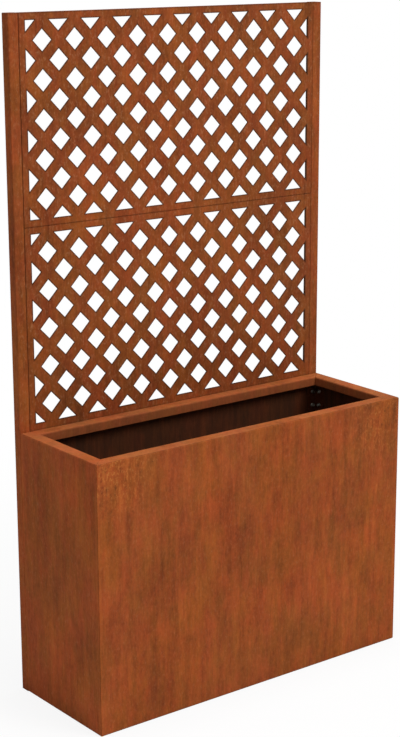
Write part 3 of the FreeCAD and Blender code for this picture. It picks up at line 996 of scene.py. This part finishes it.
def stud_profile(given):
    crest = given["Thread Width"] / 2
    root = crest - given["Pitch"] * 0.4
    tip = given["Head Height"]
    return [(0, tip, 0), (root - 0.0002, tip, 0),
            *threads(crest, root, tip - 0.0004, given["Pitch"]),
            (crest, given["Shank Length"] * -1.0, 0), (0, given["Shank Length"] * -1.0, 0)]


print("profiles of a bolt, a nut and a stud")

# %% [markdown]
# The tree gets a profile's points through an Index Switch, which picks the point for each row
# of the grid. The finished fastener is set on every mark, turned to the mark's axis and then by
# a random angle round it, because no wrench stops two of them alike. The seed is fixed.

# %% The tree that turns fasteners
def fastener_tree(name, draw_profile, steps=36):
    """Turns one fastener from a profile and sets it on every mark."""
    sizes = ("Hex Width", "Flange Width", "Flange Thickness", "Head Height", "Thread Width",
             "Pitch", "Shank Length")
    tree, bench, given = new_tree(name, sizes, Seed="NodeSocketInt")
    profile = draw_profile(given)
    points = {"Item_%d" % i: bench.add("ShaderNodeCombineXYZ", None, (radius, flats, height))
              for i, (radius, height, flats) in enumerate(profile)}
    number = bench.add("GeometryNodeInputIndex")
    step = math.floor((number + 0.5) / len(profile))
    row = number - step * len(profile)
    point = bench.add("GeometryNodeIndexSwitch",
                      {"data_type": "VECTOR", "choices": len(profile)}, {"Index": row, **points})
    radius, flats, height = coordinates(bench, point)
    angle = step * (math.tau / steps)
    off_flat = (angle + math.pi / 6) % (math.pi / 3) - math.pi / 6
    held = given["Hex Width"] / 2 / bench.add("ShaderNodeMath", {"operation": "COSINE"},
                                              (off_flat,))
    radius = radius.least(held + (1 - flats))
    cosine = bench.add("ShaderNodeMath", {"operation": "COSINE"}, (angle,))
    sine = bench.add("ShaderNodeMath", {"operation": "SINE"}, (angle,))
    turned = bench.add("ShaderNodeCombineXYZ", None, (radius * cosine, radius * sine, height))
    grid = bench.add("GeometryNodeMeshGrid", None,
                     {"Vertices X": steps + 1, "Vertices Y": len(profile)})
    wound = bench.add("GeometryNodeSetPosition", None, {"Geometry": grid, "Position": turned})
    joined = bench.add("GeometryNodeMergeByDistance", None,
                       {"Geometry": wound, "Distance": 0.000001})
    solid = bench.add("GeometryNodeFlipFaces", None, {"Mesh": joined})

    axis = bench.add("GeometryNodeInputNamedAttribute", {"data_type": "FLOAT_VECTOR"},
                     {"Name": "axis"})
    upright = bench.add("FunctionNodeAlignRotationToVector", {"axis": "Z"}, {"Vector": axis})
    stopped_at = bench.add("FunctionNodeRandomValue", {"data_type": "FLOAT"},
                           {"Max_001": math.tau, "Seed": given["Seed"]}, "Value_001")
    tightened = bench.add("FunctionNodeAxisAngleToRotation", None,
                          {"Axis": (0, 0, 1), "Angle": stopped_at})
    rotation = bench.add("FunctionNodeRotateRotation", {"rotation_space": "LOCAL"},
                         {"Rotation": upright, "Rotate By": tightened})
    placed = bench.add("GeometryNodeInstanceOnPoints", None,
                       {"Points": given["Geometry"], "Instance": solid, "Rotation": rotation})
    close_tree(bench, given, placed)
    return tree


def crisp(piece):
    """Smooth shading, but sharp along real edges."""
    for face in piece.data.polygons:
        face.use_smooth = True
    piece.data.set_sharp_from_angle(angle=math.radians(32))
    return piece


bolt_tree = fastener_tree("turn_bolts", bolt_profile)
nut_tree = fastener_tree("turn_nuts", nut_profile)
stud_tree = fastener_tree("turn_studs", stud_profile)
print("trees for bolts, nuts and studs made")

# %% [markdown]
# The sizes of a head and a shank come from the measured piece that it replaces, and the widths
# across the flats and of the thread from the tables above.

# %% Turn the bolts and nuts
for seed, (node, found) in enumerate(fasteners.items()):
    size = size_of[node]
    tree = nut_tree if node.endswith("nuts") else bolt_tree
    seats = marks(node + "_seats", [(seat, axis) for seat, axis, sizes in found])
    turned = grow("turned_" + node, tree, zinc_plate, "zinc_fixing", seats,
                  Hex_Width=hex_width[size], Thread_Width=thread_width[size],
                  Flange_Thickness=flange_thickness[size], Pitch=thread_pitch[size],
                  Seed=seed, **found[0][2])
    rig.replaces(crisp(turned), node)

# %% [markdown]
# The studs are welded to the walls under the nuts, and stand out 2 mm past them. They belong to
# the walls, so the piece with all of them stands for the walls too.

# %% Turn the studs
stud_spare = 0.002            # stands out past its nut
angle_sheet = 0.002           # between a wall and its nut
tie_sheet_and_gap = 0.0035    # the same at the tie, with its clearance
stud_seed = 7
for node, plate, walls in (
        ("corner_nuts", angle_sheet, ("front_wall", "left_wall", "right_wall")),
        ("tie_nuts", tie_sheet_and_gap, ("front_wall", "back_wall"))):
    found = fasteners[node]
    seats = marks(node + "_studs", [(seat, axis) for seat, axis, sizes in found])
    studs = grow("studs_of_" + node, stud_tree, zinc_plate, "zinc_fixing", seats,
                 Head_Height=found[0][2]["Head_Height"] + stud_spare, Shank_Length=plate,
                 Thread_Width=thread_width["M6"], Pitch=thread_pitch["M6"],
                 Hex_Width=hex_width["M6"], Flange_Width=0.0, Flange_Thickness=0.0,
                 Seed=stud_seed)
    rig.replaces(crisp(studs), *walls)

# %% [markdown]
# ## Welds
#
# Behind each lattice sheet, four strips stand on edge and are joined to it by short stitches of
# weld. A weld bead is a row of overlapping drops that follows the joint, so it is swept: a
# round profile follows the joint, and its scale swells once for each drop and falls off at the
# ends. Part of the bead is inside the steel, as a melted joint is.

# %% The tree that lays welds
def weld_tree():
    tree, bench, given = new_tree("lay_welds", ("Bead Width", "Drop Length", "Drop Depth"))
    joint = bench.add("GeometryNodeMeshToCurve", None, {"Mesh": given["Geometry"]})
    path = bench.add("GeometryNodeResampleCurve", {"mode": "LENGTH"},
                     {"Curve": joint, "Length": given["Drop Length"] / 4})
    along = bench.add("GeometryNodeSplineParameter", None, (), "Length")
    share = bench.add("GeometryNodeSplineParameter", None, (), "Factor")
    drop = (along / given["Drop Length"]) % 1
    swell = 1 - given["Drop Depth"] * (2 * abs(drop - 0.5))
    ends = share.least(1 - share).rise(-0.02, 0.08)
    round_wire = bench.add("GeometryNodeCurvePrimitiveCircle", None,
                           {"Resolution": 10, "Radius": given["Bead Width"] / 2}, "Curve")
    bead = bench.add("GeometryNodeCurveToMesh", None,
                     {"Curve": path, "Profile Curve": round_wire, "Scale": swell * ends,
                      "Fill Caps": True})
    close_tree(bench, given, bead)
    return tree


def stitches(start, end, count):
    """Short runs, evenly spaced along a joint."""
    way = Vector(end) - Vector(start)
    half = way.normalized() * stitch_length / 2
    middles = [Vector(start) + way * (i + 0.5) / count for i in range(count)]
    return [(middle - half, middle + half) for middle in middles]


def joints_behind(level):
    """Where the inner faces of the four strips meet the back of a sheet."""
    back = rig.box(level + "_lattice_sheet")[1].y
    left_low, left_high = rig.box(level + "_lattice_left_strip")
    right_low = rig.box(level + "_lattice_right_strip")[0]
    low_strip_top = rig.box(level + "_lattice_bottom_strip")[1].z
    top_strip_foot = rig.box(level + "_lattice_top_strip")[0].z
    runs = []
    behind = back + weld_offset
    for x in (left_high.x + weld_offset, right_low.x - weld_offset):
        runs += stitches((x, behind, left_low.z), (x, behind, left_high.z), stitches_up)
    for z in (low_strip_top + weld_offset, top_strip_foot - weld_offset):
        runs += stitches((left_high.x, behind, z), (right_low.x, behind, z), stitches_across)
    return runs


lay_welds = weld_tree()
print("the welds' tree has", len(lay_welds.nodes), "nodes")

# %% [markdown]
# The stitches are spread evenly, five up each side strip and eight along the top and bottom
# strips, as a welder spreads them so that the thin sheet stays flat.

# %% Lay the welds
stitches_up, stitches_across = 5, 8
stitch_length = 0.026
weld_offset = 0.0006          # middle of a bead, out of the corner that it fills
bead_width = 0.0045
drop_length = 0.0018          # from one drop of weld to the next
drop_depth = 0.22             # how far the bead sinks between drops, as a share of its width
for level in ("lower", "upper"):
    runs = joints_behind(level)
    joints = bpy.data.meshes.new(level + "_joints")
    joints.from_pydata([point for run in runs for point in run],
                       [(2 * i, 2 * i + 1) for i in range(len(runs))], [])
    welds = grow(level + "_lattice_welds", lay_welds, trellis_rust, "patina_trellis", joints,
                 Bead_Width=bead_width, Drop_Length=drop_length, Drop_Depth=drop_depth)
    crisp(welds)

# %% [markdown]
# ## Stage and light
#
# The floor and the world are white to the camera, as behind the object in the photograph, but
# what lights the object is set apart from that with the Light Path node. The floor still takes
# the object's shadow. Large soft lamps stand to the front and above.

# %% Stage
floor_reach = 30.0
shadow_share = 0.12           # of the floor's own paint in what the camera sees near the object
shadow_fades = (0.7, 2.4)     # metres from the middle, where that share falls to nothing


def stage_floor():
    builder = bmesh.new()
    bmesh.ops.create_grid(builder, x_segments=1, y_segments=1, size=floor_reach)
    mesh = bpy.data.meshes.new("floor")
    builder.to_mesh(mesh)
    builder.free()
    floor = bpy.data.objects.new("floor", mesh)
    bpy.context.collection.objects.link(floor)
    material, bench = new_material("floor_white")
    path = bench.add("ShaderNodeLightPath", None, (), "Is Camera Ray")
    place = bench.add("ShaderNodeTexCoord", None, (), "Object")
    away = bench.add("ShaderNodeVectorMath", {"operation": "LENGTH"}, (place,), "Value")
    paint = bench.add("ShaderNodeBsdfDiffuse", None, {"Color": (0.8, 0.8, 0.8, 1)})
    glow = bench.add("ShaderNodeEmission", None, {"Color": (1, 1, 1, 1), "Strength": 1.0})
    glowing = (1 - shadow_share) + shadow_share * away.rise(*shadow_fades)
    seen = bench.add("ShaderNodeMixShader", None, (glowing, paint, glow))
    either = bench.add("ShaderNodeMixShader", None, (path, paint, seen))
    bench.add("ShaderNodeOutputMaterial", None, {"Surface": either})
    mesh.materials.append(material)
    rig.stage(floor)
    return floor


def white_world(ambient):
    world = bpy.data.worlds.new("white_world")
    bpy.context.scene.world = world
    world.use_nodes = True
    world.node_tree.nodes.clear()
    bench = Bench(world.node_tree)
    path = bench.add("ShaderNodeLightPath")
    rays = path.socket.node.outputs
    seen = Signal(bench, rays["Is Camera Ray"]).most(Signal(bench, rays["Is Glossy Ray"]))
    seen = seen.most(Signal(bench, rays["Is Transmission Ray"]))
    strength = ambient + (1 - ambient) * seen
    sky = bench.add("ShaderNodeBackground", None,
                    {"Color": (1, 1, 1, 1), "Strength": strength})
    bench.add("ShaderNodeOutputWorld", None, {"Surface": sky})


def soft_lamp(name, place, target, size, power):
    data = bpy.data.lights.new(name, "AREA")
    data.shape = "DISK"
    data.size = size
    data.energy = power
    lamp = bpy.data.objects.new(name, data)
    lamp.location = place
    lamp.rotation_euler = (Vector(target) - Vector(place)).to_track_quat("-Z", "Y").to_euler()
    bpy.context.collection.objects.link(lamp)


lamp_size = 2.2
lit_point = (0, 0, 0.8)
stage_floor()
white_world(ambient=0.47)
soft_lamp("front_lamp", (1.31, -3.60, 4.01), lit_point, lamp_size, power=129)
soft_lamp("top_lamp", (0, -0.17, 5.80), lit_point, lamp_size, power=163)
print("stage and lamps set")

# %% [markdown]
# ## Sizes, written out
#
# Both boxes, the measured one and the dressed one, are written out.

# %% Write the sizes and finish
dressed_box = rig.bounds()
with open("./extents.json", "w") as file:
    json.dump({"measured": [list(corner) for corner in measured_box],
               "dressed": [list(corner) for corner in dressed_box]}, file)
print("measured", [list(c) for c in measured_box], "dressed", [list(c) for c in dressed_box])
